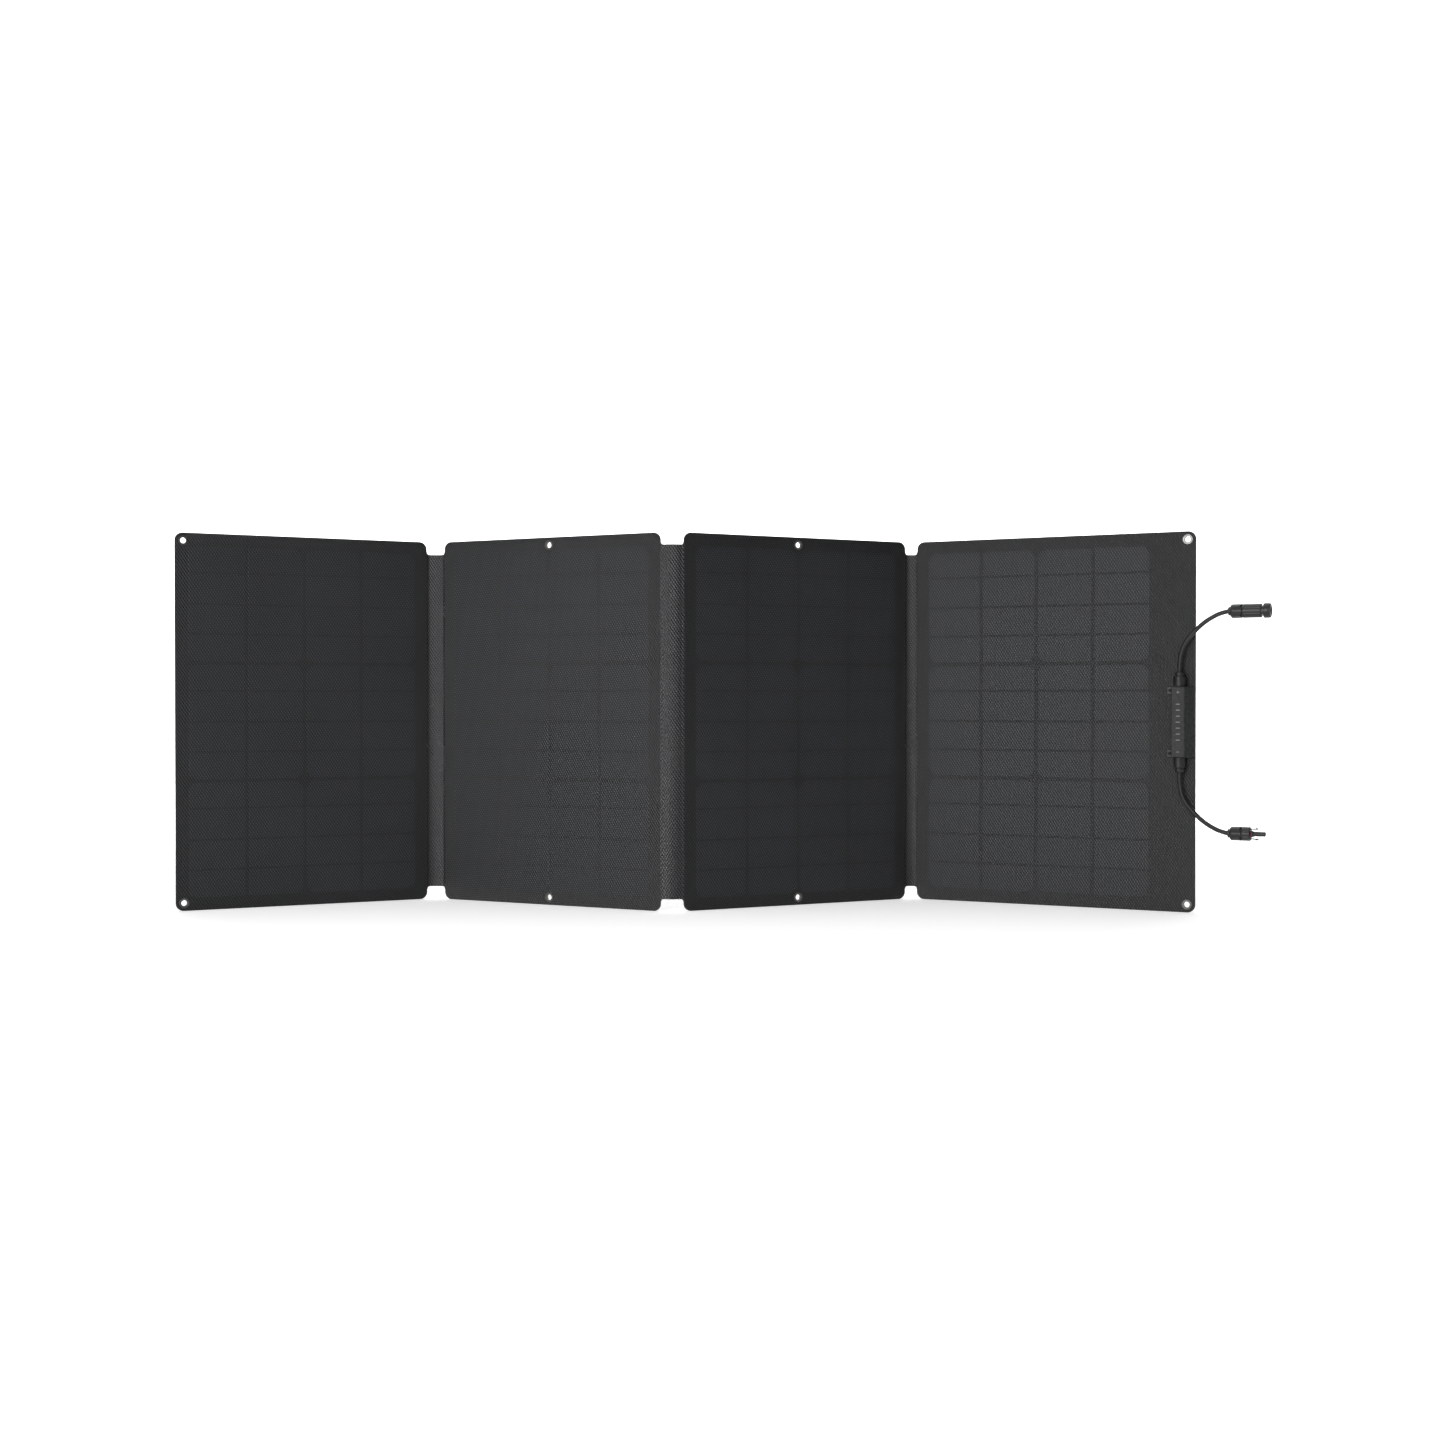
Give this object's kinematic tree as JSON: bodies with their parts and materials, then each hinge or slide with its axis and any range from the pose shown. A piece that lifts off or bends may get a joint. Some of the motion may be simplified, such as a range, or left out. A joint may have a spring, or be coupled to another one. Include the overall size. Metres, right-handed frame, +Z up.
{
  "type": "folding solar sheet",
  "caption": "Flexible solar sheet of stiff panels on soft hinges, folding like a screen, with a junction box and two short connector leads.",
  "frame": {"origin": "on the floor, at the middle of the standing sheet's bounding box, leads left out", "axes": "+Z up, +X along the sheet towards the junction box, -Y towards the sun side"},
  "size_m": [1.4618, 0.2458, 0.512],
  "materials": {
    "embossed_film": "black embossed fluoropolymer film, satin",
    "encapsulant": "clear cross-linked encapsulant",
    "silicon_cell": "near-black silicon wafer strip",
    "tinned_copper": "tinned copper ribbon",
    "backing_board": "woven glass and epoxy sheet",
    "black_fabric": "black coated polyester fabric",
    "nickel_brass": "nickel-plated brass",
    "black_plastic": "black moulded polyamide, fine grain",
    "black_rubber": "black elastomer",
    "adhesive": "black silicone adhesive",
    "brass": "bright brass",
    "diode_epoxy": "black epoxy",
    "cable_jacket": "black cross-linked cable jacket, satin",
    "red_rubber": "red silicone"
  },
  "bodies": {
    "panel_1": {"panel_1_front_film": "embossed_film", "panel_1_encapsulant": "encapsulant", "panel_1_cells": "silicon_cell", "panel_1_interconnects": "tinned_copper", "panel_1_backing_board": "backing_board", "panel_1_rear_fabric": "black_fabric", "panel_1_eyelets": "nickel_brass", "panel_1_eyelet_washers": "nickel_brass", "hinge_1_film": "embossed_film", "hinge_1_fabric": "black_fabric", "hinge_1_conductors": "tinned_copper"},
    "panel_2": {"panel_2_front_film": "embossed_film", "panel_2_encapsulant": "encapsulant", "panel_2_cells": "silicon_cell", "panel_2_interconnects": "tinned_copper", "panel_2_backing_board": "backing_board", "panel_2_rear_fabric": "black_fabric", "panel_2_eyelets": "nickel_brass", "panel_2_eyelet_washers": "nickel_brass"},
    "panel_3": {"hinge_2_film": "embossed_film", "hinge_2_fabric": "black_fabric", "hinge_2_conductors": "tinned_copper", "panel_3_front_film": "embossed_film", "panel_3_encapsulant": "encapsulant", "panel_3_cells": "silicon_cell", "panel_3_interconnects": "tinned_copper", "panel_3_backing_board": "backing_board", "panel_3_rear_fabric": "black_fabric", "panel_3_eyelets": "nickel_brass", "panel_3_eyelet_washers": "nickel_brass"},
    "panel_4": {"hinge_3_film": "embossed_film", "hinge_3_fabric": "black_fabric", "hinge_3_conductors": "tinned_copper", "panel_4_front_film": "embossed_film", "panel_4_encapsulant": "encapsulant", "panel_4_cells": "silicon_cell", "panel_4_interconnects": "tinned_copper", "panel_4_backing_board": "backing_board", "panel_4_rear_fabric": "black_fabric", "panel_4_eyelets": "nickel_brass", "panel_4_eyelet_washers": "nickel_brass", "junction_box_base": "black_plastic", "junction_box_cover": "black_plastic", "junction_box_gasket": "black_rubber", "junction_box_adhesive": "adhesive", "junction_box_terminals": "brass", "bypass_diode": "diode_epoxy", "gland_bodies": "black_plastic", "gland_seals": "black_rubber", "gland_caps": "black_plastic", "internal_leads": "cable_jacket", "lead_upper": "cable_jacket", "lead_lower": "cable_jacket", "receptacle_nut": "black_plastic", "receptacle_housing": "black_plastic", "receptacle_contact": "tinned_copper", "plug_nut": "black_plastic", "plug_housing": "black_plastic", "plug_contact": "tinned_copper", "plug_o_ring": "red_rubber"}
  },
  "joints": [
    {"name": "fold_1", "type": "hinge", "parent": "panel_2", "child": "panel_1", "pos_m": [-0.35888, 0.0972, 0.256], "axis": [0, 0, 1], "range_deg": [-53.72, 126.28], "deforming": ["hinge_1_film", "hinge_1_fabric", "hinge_1_conductors"]},
    {"name": "fold_2", "type": "hinge", "parent": "panel_2", "child": "panel_3", "pos_m": [-0.01561, -0.0716, 0.256], "axis": [0, 0, 1], "range_deg": [-53.72, 126.28], "deforming": ["hinge_2_film", "hinge_2_fabric", "hinge_2_conductors"]},
    {"name": "fold_3", "type": "hinge", "parent": "panel_3", "child": "panel_4", "pos_m": [0.32346, 0.09508, 0.256], "axis": [0, 0, 1], "range_deg": [-126.28, 53.72], "deforming": ["hinge_3_film", "hinge_3_fabric", "hinge_3_conductors"]}
  ],
  "couplings": [
    {"joint": "fold_3", "follows": "fold_2", "ratio": -1}
  ]
}
